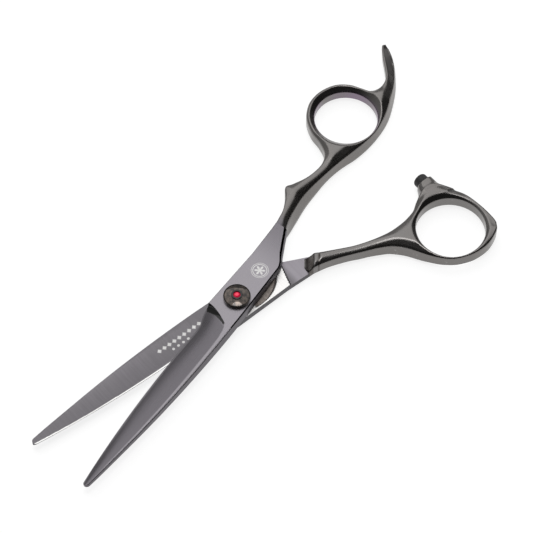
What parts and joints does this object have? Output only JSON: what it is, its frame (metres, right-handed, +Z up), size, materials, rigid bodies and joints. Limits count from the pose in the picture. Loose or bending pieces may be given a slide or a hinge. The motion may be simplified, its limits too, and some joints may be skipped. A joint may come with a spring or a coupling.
{
  "type": "hair cutting shears",
  "caption": "Hair cutting shears with two pivoted blades, offset finger rings, a finger rest, a rubber stop and a domed tension dial with a red stone.",
  "frame": {"origin": "pivot axis on the surface that the shears lie on, at the flat head of the pivot screw", "axes": "+X towards the blade tips along the line midway between the blades, +Y towards the thumb ring, +Z up along the pivot axis to the dial"},
  "size_m": [0.1828, 0.0778, 0.0082],
  "materials": {
    "front_blade_satin": "satin ground, dark titanium coated steel with fine grain along the blade",
    "rear_blade_satin": "satin ground, dark titanium coated steel with bare bright steel on the ride and the honed edge",
    "front_handle_gloss": "mirror polished, black titanium coated steel",
    "rear_handle_gloss": "mirror polished, black titanium coated steel",
    "bumper_rubber": "soft matt black rubber",
    "screw_steel": "turned stainless steel",
    "washer_nylon": "natural nylon",
    "bush_nylon": "natural nylon",
    "spring_steel": "rolled spring steel",
    "click_steel": "stamped spring steel",
    "dial_gloss": "mirror polished, black coated steel",
    "leaf_steel": "rolled spring steel",
    "bezel_gloss": "polished black coated steel",
    "gem_glass": "cut red glass"
  },
  "bodies": {
    "lower_half": {"rear_blade": "rear_blade_satin", "rear_handle": "rear_handle_gloss", "bumper": "bumper_rubber", "pivot_screw": "screw_steel", "friction_washer": "washer_nylon", "spring_washer": "spring_steel", "click_plate": "click_steel"},
    "upper_half": {"front_blade": "front_blade_satin", "front_handle": "front_handle_gloss", "pivot_bush": "bush_nylon"},
    "dial": {"tension_dial": "dial_gloss", "click_spring": "leaf_steel", "gem_bezel": "bezel_gloss", "gem": "gem_glass"}
  },
  "joints": [
    {"name": "blade_pivot", "type": "hinge", "parent": "lower_half", "child": "upper_half", "pos_m": [0, 0, 0.0036], "axis": [0, 0, 1], "range_deg": [-15, 72]},
    {"name": "dial_turn", "type": "hinge", "parent": "lower_half", "child": "dial", "pos_m": [0, 0, 0.0064], "axis": [0, 0, 1], "range_deg": [-90, 90]}
  ]
}
